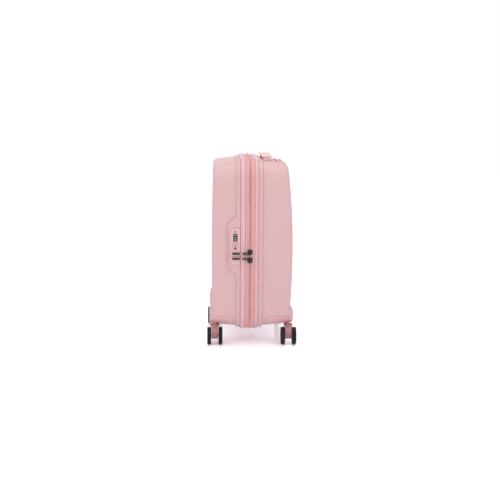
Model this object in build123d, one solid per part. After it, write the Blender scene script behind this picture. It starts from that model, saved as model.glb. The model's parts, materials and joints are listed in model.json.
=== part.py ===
from build123d import *
import math
import os

# Hard shell suitcase on four spinner casters, with a zip closure, side lock and telescopic trolley.
# Axes: X is the width, with the lock on the +X side. Y is the depth, with the front shell towards -Y and
# the trolley towards +Y. Z is up. The origin is on the floor under the middle of the case.

# Outline of the case seen from the front, where the two halves meet
SEAM_Y = -7.0
RIM_HALF_X = 184.0
RIM_HALF_Z = 240.75
CENTRE_Z = 290.25
CORNER_R = 56.0

# Shells: wall, draft towards the outer face, and the crowned outer faces
WALL = 2.6
DRAFT = 6.0
RIM_GAP = {-1: 27.0, 1: 24.0}
FRONT_DEPTH = 109.5
BACK_DEPTH = 124.0
FRONT_CROWN_R = 7800.0
BACK_CROWN_R = 2100.0
CROWN_Z = 262.0
FRONT_EDGE_R = 13.0
BACK_EDGE_R = 15.0
LIP_WIDTH = 11.0
LIP_RISE = 3.5
LIP_ROUND = 1.4

# Reaches well beyond the case, for cutting tools
REACH_X = 220.0
REACH_Y = 160.0
REACH_Z = 600.0

# Rim beads and zip, as offsets outwards from the rim outline
BEAD_RISE = 8.0
BEAD_INNER = -5.0
BEAD_EDGE = 13.0
BEAD_ROUND = 4.6
TAPE_LOW = 4.0
TAPE_HIGH = 5.2
TEETH_HIGH = 9.2
TEETH_WIDTH = 3.4
ZIP_GAP = 0.15
HINGE_HALF_Z = 165.0

# Raised pad that carries the lock, and the lock itself
PAD_X = RIM_HALF_X + LIP_RISE
PAD_FRONT = 63.0
PAD_LOW = 210.0
PAD_HIGH = 377.0
PAD_SLOPE = 24.0
PAD_ROOT = 14.0
PAD_ROUND = 1.4
LOCK_Y = SEAM_Y - 42.0
LOCK_WIDTH = 29.0
LOCK_LOW = 239.0
LOCK_HIGH = 342.0
LOCK_FACE_X = PAD_X + 3.5
LOCK_BACK_X = PAD_X - 16.0
LOCK_CASE_HALF = LOCK_WIDTH / 2 - 2
LOCK_CASE_EDGE = 3.0
LOCK_CORNER = 3.5
LOCK_EDGE_R = 1.0
DIAL_R = 6.6
DIAL_WIDTH = 5.6
DIAL_PITCH = 7.0
DIAL_Z = 316.5
DIAL_SINK = 0.5
DIAL_HOLE_R = 1.55
DIAL_AXLE_R = 1.5
DIAL_X = LOCK_FACE_X - DIAL_SINK - DIAL_R
DIAL_EDGE_R = 0.4
DIAL_NOTCH_R = 0.6
DIAL_NOTCH_OUT = 0.25
DIGITS = 10
DIALS_HALF = (3 * DIAL_PITCH + 0.8) / 2
CHAMBER_HALF_Y = 8.5
BUTTON_Z = 299.0
BUTTON_HEIGHT = 7.6
BUTTON_WIDTH = 11.0
BUTTON_GAP = 0.3
BUTTON_DEPTH = 3.0
BUTTON_EDGE_R = 0.7
BUTTON_WELL = 6.0
KEY_Z = 286.0
KEY_R = 4.6
KEY_DEPTH = 11.0
KEYWAY_R = 2.4
KEYWAY_DEPTH = 6.0
KEY_SINK = 0.2
PIN_Z = 333.0
PIN_R = 1.4
PIN_DEPTH = 6.0
PIN_WELL = 9.0
PIN_SINK = 1.2
WINDOW_HALF_Y = 6.2
SLOT_DEPTH = 1.6
SLOT_WIDTH = 6.8
SLOT_REACH = 9.4
SLOT_ZS = (270.6, 256.4)

# Zip sliders and pull tabs
SLIDER_ZS = (275.0, 252.0)
SLIDER_LENGTH = 17.0
SLIDER_HALF_Y = 7.0
SLIDER_LOW_X = RIM_HALF_X + TEETH_HIGH + 0.3
SLIDER_PLATE = 1.6
BRIDGE_X = SLIDER_LOW_X + 4.1
BRIDGE_Y = SEAM_Y - 2.0
BRIDGE_R = 1.2
SLIDER_CORNER = 4.0
FLANGE_GAP = 0.6
FLANGE_Y = (5.6, 4.2)
FLANGE_INSET = 2.0
POST_INSET = 0.8
POST_HALF = (1.8, 0.7)
POST_RISE = 1.6
TAB_LOW_X = LOCK_FACE_X + 1.4
TAB_THICK = 2.2
TAB_END_Y = SEAM_Y - 51.0
TAB_WIDTH = 4.6
TAB_RING_R = 4.9
TAB_KNUCKLE_R = 2.0
TAB_RING_HOLE = 2.7
TAB_RING_Y = SEAM_Y - 19.5
TAB_ARM_HALF = 1.7
TAB_ARM_RUN = 6.0
TAB_RAMP_RUN = 12.1
TAB_RAMP_SHIFT = 0.4

# Carry handle on top
HANDLE_Y = SEAM_Y + 50.0
HANDLE_WIDTH = 30.0
HANDLE_HALF = 100.0
HANDLE_TOP = 544.4
HANDLE_THICK = 4.8
HANDLE_LEG = 11.0
HANDLE_LEG_INSET = 3.0
HANDLE_ROUND = 3.8
HANDLE_FOOT_Z = 500.0
SLEEVE_GAP = 0.4
SLEEVE_WALL = 3.5
SLEEVE_TOP = 530.5
SLEEVE_FLOOR = HANDLE_FOOT_Z - 4

# Trolley
TUBE_X = 66.0
TUBE_Y = 80.0
TUBE_OUTER = (20.0, 12.0)
TUBE_MIDDLE = (17.2, 9.2)
TUBE_INNER = (14.4, 6.4)
TUBE_WALL = 1.0
TUBE_LOW = 84.0
TUBE_TOP = 489.0
NOTCH_HALF = 88.0
NOTCH_Y = 70.0
NOTCH_Z = 489.0
BEZEL_WALL = 2.2
GRIP_RISE = 2.0
GRIP_Z = 496.0
GRIP_GAP = 1.0
PRESS_HALF = 22.0
PRESS_Y = (83.0, 92.0)
ROD_R = 1.5
ROD_HOLE_R = 2.0
ROD_LOW = 100.0
TUBE_CORNER = 2.2
TUBE_STEP = 4.0
TUBE_FIT = 0.4
FOOT_HALF = (82.0, 8.0)
FOOT_HEIGHT = 14.0
CAVITY_LOW = 501.5
CAVITY_HIGH = 510.0
CAVITY_HALF = 70.0
CAVITY_Y = 93.0
BAR_HALF = 68.0
BAR_HALF_Y = 2.2
BAR_LOW = 505.5
BAR_HIGH = 509.0
BAR_END_Y = 91.5
PRESS_TOP = 527.2
PRESS_LOW = 508.0
PRESS_CORNER = 3.5
PRESS_SLOT_LOW = 505.0

# Wheel housings and casters
HOUSING_TOP = 85.0
HOUSING_FOOT = 58.0
HOUSING_X = 92.0
HOUSING_SEAM = 50.0
BULGE_TOP = 104.0
BULGE_OUT = 5.6
BULGE_ROUND = 5.3
BULGE_SIDE = 10.0
BULGE_X = (44.0, 34.0)
BULGE_RUN = 34.0
BULGE_FOOT = 4.0
BULGE_SET = {-1: 0.0, 1: 2.5}
HOUSING_ROUND = 9.0
PANEL_GAP = 0.5
BOSS_R = 12.0
PAN_THICK = 3.2
PAN_R = 15.0
CASTER_X = 146.0
CASTER_Y = {-1: 106.5, 1: 107.0}
CASTER_TRAIL = 14.0
WHEEL_R = 25.5
WHEEL_HUB_R = 19.0
WHEEL_WIDTH = 11.5
WHEEL_GAP = 21.0
AXLE_R = 3.0
AXLE_FIT = 0.05
FORK_HALF = 9.6
STEM_R = 5.0
STEM_TOP = 80.0
COLLAR_R = 13.0
COLLAR_LOW = 51.5
COLLAR_GAP = 0.4
STEM_CAP_R = 8.0
STEM_CAP = 2.6
WEB_HALF = 9.0
WEB_TOE_Z = 44.0
WEB_LOW_Z = 30.0
WEB_HEEL_Z = 40.0
GUARD_TOP = 31.0
TYRE_EDGE_R = 3.2
HUB_EDGE_R = 0.8
HUB_INSET = 0.8

# Soft parts inside
LINING = 1.2
LINING_GAP = 3.6
BACK_LINING_Y = 66.0
DIVIDER_Y = SEAM_Y - 17.0
STRAP_Y = SEAM_Y + 14.0
STRAP_WIDTH = 30.0
STRAP_THICK = 1.6
STRAP_START = 30.0
STRAP_END = 256.0
STRAP_SLOPE = 1.25
BUCKLE = (62.0, 9.0, 62.0)
BUCKLE_CORNER = 14.0
DIVIDER_THICK = 2.0
DIVIDER_INSET = 8.0
WELL_GAP = 2.0
LINING_FLOOR_GAP = 6.0

# Screws
SCREW_R = 2.2
SCREW_HEAD = 2.0
SCREW_SHANK = 12.0
LOCK_SCREW_HEAD = 1.6
LOCK_SCREW_SPOT = (7.0, 9.0)
HOUSING_SCREW_Z = 57.0
HOUSING_SCREW_Y = 26.0
HOUSING_SCREW_XS = (34.0, 8.0)


def outline(grow):
    """The case outline seen from the front, moved outwards by grow."""
    return RectangleRounded(2 * (RIM_HALF_X + grow), 2 * (RIM_HALF_Z + grow), CORNER_R + grow)


def front_plane(y):
    """A plane facing -Y at depth y, centred on the case."""
    return Plane(origin=(0, y, CENTRE_Z), x_dir=(1, 0, 0), z_dir=(0, -1, 0))


def back_plane(y):
    """A plane facing +Y at depth y, centred on the case."""
    return Plane(origin=(0, y, CENTRE_Z), x_dir=(-1, 0, 0), z_dir=(0, 1, 0))


def ring(y_low, y_high, grow_in, grow_out):
    """A hoop that follows the outline, between two offsets and two depths."""
    plane = front_plane(y_high)
    hoop = plane * (outline(grow_out) - outline(grow_in))
    return extrude(hoop, amount=y_high - y_low)


def box(low, high):
    """A box between two corners."""
    size = [b - a for a, b in zip(low, high)]
    middle = [(a + b) / 2 for a, b in zip(low, high)]
    return Pos(*middle) * Box(*size)


def rod(start, end, radius):
    """A round bar between two points."""
    path = Vector(*end) - Vector(*start)
    return extrude(Plane(origin=start, z_dir=path) * Circle(radius), amount=path.length)


def block(side, inset, edge_r):
    """One half of the case as a solid body, crowned on its outer face. side is -1 front, 1 back."""
    depth = FRONT_DEPTH if side < 0 else BACK_DEPTH
    crown = FRONT_CROWN_R if side < 0 else BACK_CROWN_R
    plane = front_plane(SEAM_Y - RIM_GAP[-1]) if side < 0 else back_plane(SEAM_Y + RIM_GAP[1])
    body = extrude(plane * outline(-inset), amount=depth - RIM_GAP[side] + 6, taper=DRAFT)
    radius = crown - inset
    centre_y = SEAM_Y + side * (depth - crown)
    drum = Pos(0, centre_y, CROWN_Z) * Rot(0, 90, 0) * Cylinder(radius, 600)
    body = body & drum
    limit = SEAM_Y + side * (depth - 40)
    rim = [e for e in body.edges() if side * (e.center().Y - limit) > 0]
    flat = [e for e in rim if side * (e.bounding_box().min.Y - limit) > 0]
    return fillet(flat, edge_r)


def bulges(side, inset):
    """The swellings over the two wheels of one half."""
    depth = (FRONT_DEPTH if side < 0 else BACK_DEPTH) - BULGE_SET[side]
    face = SEAM_Y + side * (depth + BULGE_OUT - inset)
    root = face - side * BULGE_RUN
    prism = extrude(front_plane(REACH_Y) * outline(-BULGE_SIDE - inset), amount=2 * REACH_Y)
    made = []
    for x in (-1, 1):
        ends = sorted((x * (CASTER_X - BULGE_X[0] + inset), x * (CASTER_X + BULGE_X[1] - inset)))
        low = (ends[0], min(face, root), HOUSING_FOOT - BULGE_FOOT + inset)
        high = (ends[1], max(face, root), BULGE_TOP - inset)
        swell = box(low, high) & prism
        outer = swell.faces().sort_by(Axis.Y)[0 if side < 0 else -1]
        made.append(fillet(outer.edges(), BULGE_ROUND - inset))
    return made


def on_outside(edge, grow):
    """Whether an edge of a hoop lies on its outer side."""
    spot = edge @ 0.5
    across = abs(spot.X) - (RIM_HALF_X - CORNER_R)
    along = abs(spot.Z - CENTRE_Z) - (RIM_HALF_Z - CORNER_R)
    reach = math.hypot(max(across, 0), max(along, 0))
    return abs(reach - (CORNER_R + grow)) < 0.05


def soften(hoop, grow, radius):
    """Rounds the outer edges of a hoop."""
    return fillet([e for e in hoop.edges() if on_outside(e, grow)], radius)


def lip(side):
    """The raised band next to the rim of one half."""
    ends = sorted((SEAM_Y + side * RIM_GAP[side], SEAM_Y + side * (RIM_GAP[side] + LIP_WIDTH)))
    return soften(ring(ends[0], ends[1], -WALL, LIP_RISE), LIP_RISE, LIP_ROUND)


def lock_pad():
    """The raised pad on the narrow side that carries the lock."""
    front = SEAM_Y - PAD_FRONT
    band = SEAM_Y - RIM_GAP[-1] - LIP_WIDTH
    rim = SEAM_Y - RIM_GAP[-1] - 3
    corners = [
        (rim, PAD_LOW),
        (band, PAD_LOW),
        (front, PAD_LOW + PAD_SLOPE),
        (front, PAD_HIGH - PAD_SLOPE),
        (band, PAD_HIGH),
        (rim, PAD_HIGH),
    ]
    side = Plane(origin=(RIM_HALF_X - PAD_ROOT, 0, 0), x_dir=(0, 1, 0), z_dir=(1, 0, 0))
    pad = extrude(side * make_face(Polyline(corners, close=True)), amount=PAD_X - RIM_HALF_X + PAD_ROOT)
    outer = pad.faces().sort_by(Axis.X)[-1]
    edges = [e for e in outer.edges() if e.center().Y < band + 0.1]
    return fillet(edges, PAD_ROUND)


def corner_zone(side, x, grow):
    """The space of one wheel housing at a lower corner, grown by a panel gap."""
    seam_end = SEAM_Y + side * (HOUSING_SEAM - grow)
    face_end = SEAM_Y + side * REACH_Y
    ends = sorted((x * (HOUSING_X - grow), x * REACH_X))
    low = (ends[0], min(seam_end, face_end), 0)
    high = (ends[1], max(seam_end, face_end), HOUSING_TOP + grow)
    zone = box(low, high)
    upper = [e for e in zone.edges().filter_by(Axis.X) if e.center().Z > HOUSING_TOP - 1]
    inner = min(upper, key=lambda e: abs(e.center().Y - SEAM_Y))
    return fillet(inner, HOUSING_ROUND + grow)


def half_body(side, inset):
    """One half with its swellings, moved inwards by inset."""
    edge_r = FRONT_EDGE_R if side < 0 else BACK_EDGE_R
    whole = block(side, inset, edge_r - inset)
    for swell in bulges(side, inset):
        whole = whole + swell
    return whole


def shell(side, outer, inner):
    """The moulded shell of one half, open at the wheel housings."""
    made = outer + lip(side)
    if side < 0:
        made = made + lock_pad()
    made = made - inner
    for x in (-1, 1):
        made = made - corner_zone(side, x, PANEL_GAP)
    return made


def housings(side, outer, inner):
    """The two wheel housings of one half, each with a socket for its caster stem."""
    made = []
    for x in (-1, 1):
        skin = (outer & corner_zone(side, x, 0)) - inner
        spot = (x * CASTER_X, side * CASTER_Y[side])
        boss = Pos(*spot, (HOUSING_FOOT + STEM_TOP) / 2) * Cylinder(BOSS_R, STEM_TOP - HOUSING_FOOT)
        pan = Pos(*spot, HOUSING_FOOT + PAN_THICK / 2) * Cylinder(PAN_R, PAN_THICK)
        socket = rod((*spot, 0), (*spot, STEM_TOP + STEM_R), STEM_R + AXLE_FIT)
        clear = rod((*spot, 0), (*spot, HOUSING_FOOT), PAN_R)
        inside = outer & corner_zone(side, x, 0)
        made.append((skin + ((boss + pan) & inside) - clear) - socket)
    for screw in housing_screws(side):
        made = [housing - screw for housing in made]
    return made


def lining(side, floor_depth):
    """The thin fabric lining of one half, with a bump over each wheel housing."""
    wells = [bumps(side, grow) for grow in (WELL_GAP, WELL_GAP + LINING)]
    outer = trimmed(side, LINING_GAP, floor_depth, wells[0])
    inner = trimmed(side, LINING_GAP + LINING, floor_depth - LINING, wells[1])
    return outer - inner


def box_zone(side, x, grow):
    """A plain box around one wheel housing."""
    ends = sorted((x * (HOUSING_X - grow), x * REACH_X))
    depth = sorted((SEAM_Y + side * (HOUSING_SEAM - grow), SEAM_Y + side * REACH_Y))
    return box((ends[0], depth[0], 0), (ends[1], depth[1], HOUSING_TOP + grow))


def bumps(side, grow):
    """The spaces that the lining of one half goes round: wheel housings, then lock or handle sleeves."""
    zones = [box_zone(side, x, grow) for x in (-1, 1)]
    if side < 0:
        half = LOCK_WIDTH / 2 + grow
        low = (LOCK_BACK_X - SCREW_HEAD - grow, LOCK_Y - half, LOCK_LOW - grow)
        zones.append(box(low, (REACH_X, LOCK_Y + half, LOCK_HIGH + grow)))
    else:
        zones += [handle_leg_zone(x, SLEEVE_WALL + grow, SLEEVE_FLOOR - grow, REACH_Z) for x in (-1, 1)]
    return zones


def trimmed(side, inset, floor_depth, wells):
    """The inside space of one half, cut at the lining's floor and at the bumps."""
    edge_r = FRONT_EDGE_R if side < 0 else BACK_EDGE_R
    space = block(side, inset, edge_r - inset)
    depth = sorted((SEAM_Y, SEAM_Y + side * floor_depth))
    space = space & box((-REACH_X, depth[0], 0), (REACH_X, depth[1], REACH_Z))
    for well in wells:
        space = space - well
    return space


def bead(side):
    """The rounded rim bead of one half."""
    ends = sorted((SEAM_Y + side * BEAD_EDGE, SEAM_Y + side * RIM_GAP[side]))
    hoop = ring(ends[0], ends[1], BEAD_INNER, BEAD_RISE)
    return soften(hoop, BEAD_RISE, BEAD_ROUND)


def hinge_zone(grow):
    """The straight stretch, away from the lock, where the strip takes the place of the zip."""
    half = HINGE_HALF_Z + grow
    return box((-REACH_X, -REACH_Y, CENTRE_Z - half), (0, REACH_Y, CENTRE_Z + half))


def zip_run(side, near, far, low, high):
    """A strip of the zip of one half, which stops at the fabric hinge."""
    ends = sorted((SEAM_Y + side * near, SEAM_Y + side * far))
    return ring(ends[0], ends[1], low, high) - hinge_zone(0.2)


def fabric_hinge():
    """The strip that joins the two halves on the side away from the lock."""
    return ring(SEAM_Y - BEAD_EDGE, SEAM_Y + BEAD_EDGE, TAPE_LOW, TAPE_HIGH) & hinge_zone(0)


def slider(z):
    """A zip slider: top plate, front flange and a bridge for its pull tab."""
    low_z = z - SLIDER_LENGTH / 2
    high_z = z + SLIDER_LENGTH / 2
    plate = box(
        (SLIDER_LOW_X, SEAM_Y - SLIDER_HALF_Y, low_z),
        (SLIDER_LOW_X + SLIDER_PLATE, SEAM_Y + SLIDER_HALF_Y, high_z),
    )
    plate = fillet(plate.edges().filter_by(Axis.X), SLIDER_CORNER)
    flange = box(
        (RIM_HALF_X + TAPE_HIGH + FLANGE_GAP, SEAM_Y - FLANGE_Y[0], low_z + FLANGE_INSET),
        (SLIDER_LOW_X, SEAM_Y - FLANGE_Y[1], high_z - FLANGE_INSET),
    )
    made = plate + flange
    half_y, half_z = POST_HALF
    for end in (low_z + POST_INSET, high_z - POST_INSET):
        low = (SLIDER_LOW_X, BRIDGE_Y - half_y, end - half_z)
        made = made + box(low, (BRIDGE_X + POST_RISE, BRIDGE_Y + half_y, end + half_z))
    bar_ends = [(BRIDGE_X, BRIDGE_Y, end) for end in (low_z + POST_INSET, high_z - POST_INSET)]
    return made + rod(*bar_ends, BRIDGE_R)


def pull_tab(z):
    """A pull tab that turns on the slider's bridge and lies flat over the lock."""
    top_x = TAB_LOW_X + TAB_THICK
    half = TAB_WIDTH / 2
    side = Plane(origin=(0, 0, z - half), x_dir=(1, 0, 0), z_dir=(0, 0, 1))
    corners = [
        (BRIDGE_X, BRIDGE_Y + TAB_ARM_HALF / 2),
        (BRIDGE_X + TAB_ARM_HALF, BRIDGE_Y),
        (BRIDGE_X + TAB_ARM_HALF, BRIDGE_Y - TAB_ARM_RUN - TAB_RAMP_SHIFT),
        (top_x, BRIDGE_Y - TAB_RAMP_RUN - TAB_RAMP_SHIFT),
        (top_x, TAB_END_Y),
        (TAB_LOW_X, TAB_END_Y),
        (TAB_LOW_X, BRIDGE_Y - TAB_RAMP_RUN + TAB_RAMP_SHIFT),
        (BRIDGE_X - TAB_ARM_HALF, BRIDGE_Y - TAB_ARM_RUN + TAB_RAMP_SHIFT),
        (BRIDGE_X - TAB_ARM_HALF, BRIDGE_Y),
    ]
    bar = extrude(side * make_face(Polyline(corners, close=True)), amount=TAB_WIDTH)
    ends = bar.edges().filter_by(Axis.X).sort_by(Axis.Y)[:2]
    bar = fillet(ends, half - 0.3)
    across = Pos(TAB_LOW_X + TAB_THICK / 2, TAB_RING_Y, z) * Rot(0, 90, 0)
    loop = across * Cylinder(TAB_RING_R, TAB_THICK)
    hole = across * Cylinder(TAB_RING_HOLE, 4 * TAB_THICK)
    knuckle = Pos(BRIDGE_X, BRIDGE_Y, z) * Cylinder(TAB_KNUCKLE_R, TAB_WIDTH)
    pin_hole = Pos(BRIDGE_X, BRIDGE_Y, z) * Cylinder(BRIDGE_R + AXLE_FIT, 4 * TAB_WIDTH)
    return bar + loop - hole + knuckle - pin_hole


def across_lock(half_y, middle_z, half_z, near, far):
    """A box through the lock's face, centred on the lock's own width."""
    return box((near, LOCK_Y - half_y, middle_z - half_z), (far, LOCK_Y + half_y, middle_z + half_z))


def along_lock(z, radius, near, far):
    """A round bar through the lock's face."""
    return rod((near, LOCK_Y, z), (far, LOCK_Y, z), radius)


def lock_windows():
    """The openings of the lock plate for the dials, button, key and reset pin."""
    ends = (LOCK_BACK_X, LOCK_FACE_X + LOCK_CORNER)
    return [
        across_lock(WINDOW_HALF_Y, DIAL_Z, DIALS_HALF, *ends),
        across_lock(BUTTON_WIDTH / 2 + BUTTON_GAP, BUTTON_Z, BUTTON_HEIGHT / 2 + BUTTON_GAP, *ends),
        along_lock(KEY_Z, KEY_R + AXLE_FIT, *ends),
        along_lock(PIN_Z, PIN_R + AXLE_FIT, *ends),
    ]


def lock_plate():
    """The face of the lock, with its windows and the two recesses under the pull tabs."""
    half = LOCK_WIDTH / 2
    plate = box((PAD_X, LOCK_Y - half, LOCK_LOW), (LOCK_FACE_X, LOCK_Y + half, LOCK_HIGH))
    plate = fillet(plate.edges().filter_by(Axis.X), LOCK_CORNER)
    outer = plate.faces().sort_by(Axis.X)[-1]
    plate = fillet(outer.edges(), LOCK_EDGE_R)
    for window in lock_windows():
        plate = plate - window
    for z in SLOT_ZS:
        slot = box(
            (LOCK_FACE_X - SLOT_DEPTH, LOCK_Y - SLOT_REACH, z - SLOT_WIDTH / 2),
            (LOCK_FACE_X + SLOT_DEPTH, LOCK_Y + LOCK_WIDTH, z + SLOT_WIDTH / 2),
        )
        slot = fillet(slot.edges().filter_by(Axis.X).sort_by(Axis.Y)[:2], SLOT_WIDTH / 2 - 0.2)
        plate = plate - slot
    return plate


def lock_body():
    """The lock's case inside the shell, with chambers for the dials, button, key and pin."""
    far = PAD_X + LOCK_CORNER
    case = lock_case(PAD_X)
    chamber = across_lock(CHAMBER_HALF_Y, DIAL_Z, DIALS_HALF, LOCK_BACK_X + SCREW_HEAD, far)
    half_y = BUTTON_WIDTH / 2 + BUTTON_GAP
    well = across_lock(half_y, BUTTON_Z, BUTTON_HEIGHT / 2 + BUTTON_GAP, PAD_X - BUTTON_WELL, far)
    key = along_lock(KEY_Z, KEY_R + AXLE_FIT, PAD_X - KEY_DEPTH, far)
    pin = along_lock(PIN_Z, PIN_R + AXLE_FIT, PAD_X - PIN_WELL, far)
    return case - chamber - well - key - pin - dial_axle()


def lock_case(far):
    """The outer shape of the lock's case, as far as a place along X."""
    half_z = (LOCK_HIGH - LOCK_LOW) / 2 - LOCK_CASE_EDGE
    return across_lock(LOCK_CASE_HALF, (LOCK_LOW + LOCK_HIGH) / 2, half_z, LOCK_BACK_X, far)


def dial_axle():
    """The fixed axle that the three dials turn on."""
    reach = 3 * DIAL_PITCH / 2 + 3
    return rod((DIAL_X, LOCK_Y, DIAL_Z - reach), (DIAL_X, LOCK_Y, DIAL_Z + reach), DIAL_AXLE_R)


def dial(index):
    """One combination dial, numbered from the top, with a shallow notch for each of ten digits."""
    z = DIAL_Z + (1 - index) * DIAL_PITCH
    wheel = Pos(DIAL_X, LOCK_Y, z) * Cylinder(DIAL_R, DIAL_WIDTH)
    wheel = fillet(wheel.edges(), DIAL_EDGE_R)
    reach = DIAL_R + DIAL_NOTCH_OUT
    for step in range(DIGITS):
        angle = 2 * math.pi * (step + 0.5) / DIGITS
        spot = (DIAL_X + reach * math.cos(angle), LOCK_Y + reach * math.sin(angle), z)
        wheel = wheel - Pos(*spot) * Cylinder(DIAL_NOTCH_R, DIAL_WIDTH + 1)
    return wheel - Pos(DIAL_X, LOCK_Y, z) * Cylinder(DIAL_HOLE_R, DIAL_WIDTH + 1)


def lock_button():
    """The push button that frees the pull tabs."""
    cap = across_lock(BUTTON_WIDTH / 2, BUTTON_Z, BUTTON_HEIGHT / 2, PAD_X - BUTTON_DEPTH, LOCK_FACE_X)
    return fillet(cap.faces().sort_by(Axis.X)[-1].edges(), BUTTON_EDGE_R)


def key_cylinder():
    """The key cylinder, with its keyway."""
    barrel = along_lock(KEY_Z, KEY_R, PAD_X - KEY_DEPTH, LOCK_FACE_X - KEY_SINK)
    return barrel - along_lock(KEY_Z, KEYWAY_R, PAD_X - KEYWAY_DEPTH, LOCK_FACE_X)


def reset_pin():
    """The small pin pressed to set a new combination."""
    return along_lock(PIN_Z, PIN_R, PAD_X - PIN_DEPTH, LOCK_FACE_X - PIN_SINK)


def handle_leg_zone(x, gap, low, high):
    """The space of one leg of the carry handle, grown by a gap."""
    ends = sorted((x * (HANDLE_HALF - HANDLE_LEG - gap), x * (HANDLE_HALF + gap)))
    half = HANDLE_WIDTH / 2 - HANDLE_LEG_INSET + gap
    return box((ends[0], HANDLE_Y - half, low), (ends[1], HANDLE_Y + half, high))


def carry_handle():
    """The carry handle: a padded strap with a leg at each end."""
    half = HANDLE_WIDTH / 2
    under = HANDLE_TOP - HANDLE_THICK
    strap = box((-HANDLE_HALF, HANDLE_Y - half, under), (HANDLE_HALF, HANDLE_Y + half, HANDLE_TOP))
    crosswise = strap.edges().filter_by(Axis.Y).sort_by(Axis.Z)[-2:]
    strap = fillet(crosswise, HANDLE_ROUND)
    for x in (-1, 1):
        strap = strap + handle_leg_zone(x, 0, HANDLE_FOOT_Z, under + 1)
    return strap


def handle_sleeve(x):
    """The sleeve in the shell that guides one leg of the carry handle."""
    sleeve = handle_leg_zone(x, SLEEVE_WALL, SLEEVE_FLOOR, SLEEVE_TOP)
    hollow = handle_leg_zone(x, SLEEVE_GAP, HANDLE_FOOT_Z - 2, REACH_Z)
    return sleeve - hollow


def sleeve_hole(x):
    """The hole in the top of the shell around one sleeve."""
    return handle_leg_zone(x, SLEEVE_WALL, SLEEVE_FLOOR, REACH_Z)


def tube(size, low, high, wall):
    """A pair of rectangular trolley tubes."""
    made = []
    for x in (-TUBE_X, TUBE_X):
        made.append(bore(x, size, low, high, 0) - bore(x, size, low - 1, high + 1, -wall))
    return made


def bore(x, size, low, high, grow):
    """A bar along one trolley tube, as large as its section grown on all sides."""
    half_x = size[0] / 2 + grow
    half_y = size[1] / 2 + grow
    hole = box((x - half_x, TUBE_Y - half_y, low), (x + half_x, TUBE_Y + half_y, high))
    return fillet(hole.edges().filter_by(Axis.Z), TUBE_CORNER + grow)


def trolley_notch():
    """The recess at the top of the back shell that takes the trolley grip."""
    return box((-NOTCH_HALF, NOTCH_Y, NOTCH_Z), (NOTCH_HALF, REACH_Y, REACH_Z))


def trolley_bezel(outer):
    """The tray that lines the recess, with two holes for the tubes."""
    tray = outer & trolley_notch()
    inside = NOTCH_HALF - BEZEL_WALL
    hollow = box((-inside, NOTCH_Y + BEZEL_WALL, NOTCH_Z + BEZEL_WALL), (inside, REACH_Y, REACH_Z))
    tray = tray - hollow
    for x in (-TUBE_X, TUBE_X):
        tray = tray - bore(x, TUBE_MIDDLE, NOTCH_Z - 1, GRIP_Z, TUBE_FIT)
    return tray


def grip_cavity():
    """The hollow inside the grip for the crossbar, the slot of the push button, and the rod holes."""
    low = (-CAVITY_HALF, TUBE_Y - BAR_HALF_Y - TUBE_FIT, CAVITY_LOW)
    hollow = box(low, (CAVITY_HALF, CAVITY_Y, CAVITY_HIGH))
    half = PRESS_HALF + TUBE_FIT
    slot = box((-half, PRESS_Y[0] - TUBE_FIT, PRESS_SLOT_LOW), (half, PRESS_Y[1] + TUBE_FIT, REACH_Z))
    passages = [rod((x, TUBE_Y, TUBE_TOP), (x, TUBE_Y, BAR_LOW), ROD_HOLE_R) for x in (-TUBE_X, TUBE_X)]
    return [hollow, slot] + passages


def trolley_grip(outer):
    """The trolley grip, which follows the round of the case."""
    half = NOTCH_HALF - BEZEL_WALL - GRIP_GAP
    raised = Pos(0, 0, GRIP_RISE) * outer
    grip = raised & box((-half, NOTCH_Y + BEZEL_WALL + 2 * GRIP_GAP, GRIP_Z), (half, REACH_Y, REACH_Z))
    for hollow in grip_cavity():
        grip = grip - hollow
    return grip


def trolley_button():
    """The push button in the grip, with its crossbar."""
    cap = box((-PRESS_HALF, PRESS_Y[0], PRESS_LOW), (PRESS_HALF, PRESS_Y[1], PRESS_TOP))
    cap = fillet(cap.edges().filter_by(Axis.Z), PRESS_CORNER)
    bar = box((-BAR_HALF, TUBE_Y - BAR_HALF_Y, BAR_LOW), (BAR_HALF, BAR_END_Y, BAR_HIGH))
    return cap + bar


def caster_spot(side, x):
    """The middle of one caster's swivel on the floor."""
    return Vector(x * CASTER_X, side * CASTER_Y[side], 0)


def fork(spot):
    """The swivelling fork between the two wheels, with its stem and collar."""
    side = Plane(origin=(spot.X, spot.Y + FORK_HALF, 0), x_dir=(1, 0, 0), z_dir=(0, -1, 0))
    toe = CASTER_TRAIL - WEB_HALF
    heel = CASTER_TRAIL + WEB_HALF
    corners = [
        (-WEB_HALF, COLLAR_LOW + 1),
        (-WEB_HALF, WEB_TOE_Z),
        (toe, WEB_LOW_Z),
        (heel, WEB_LOW_Z),
        (heel, WEB_HEEL_Z),
        (WEB_HALF, COLLAR_LOW + 1),
    ]
    web = extrude(side * make_face(Polyline(corners, close=True)), amount=2 * FORK_HALF)
    low = (spot.X + toe, spot.Y - FORK_HALF, WHEEL_R)
    guard = box(low, (spot.X + heel, spot.Y + FORK_HALF, GUARD_TOP))
    wheel_axis = Pos(spot.X + CASTER_TRAIL, spot.Y, WHEEL_R) * Rot(90, 0, 0)
    hub = wheel_axis * Cylinder(WEB_HALF, 2 * FORK_HALF)
    hole = wheel_axis * Cylinder(AXLE_R + AXLE_FIT, 4 * FORK_HALF)
    collar = rod((spot.X, spot.Y, COLLAR_LOW), (spot.X, spot.Y, HOUSING_FOOT - COLLAR_GAP), COLLAR_R)
    stem = rod((spot.X, spot.Y, COLLAR_LOW + 2), (spot.X, spot.Y, STEM_TOP + 3), STEM_R)
    cap_low = STEM_TOP + 0.7
    cap = rod((spot.X, spot.Y, cap_low), (spot.X, spot.Y, cap_low + STEM_CAP), STEM_CAP_R)
    return web + hub + guard + collar + stem + cap - hole


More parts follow.
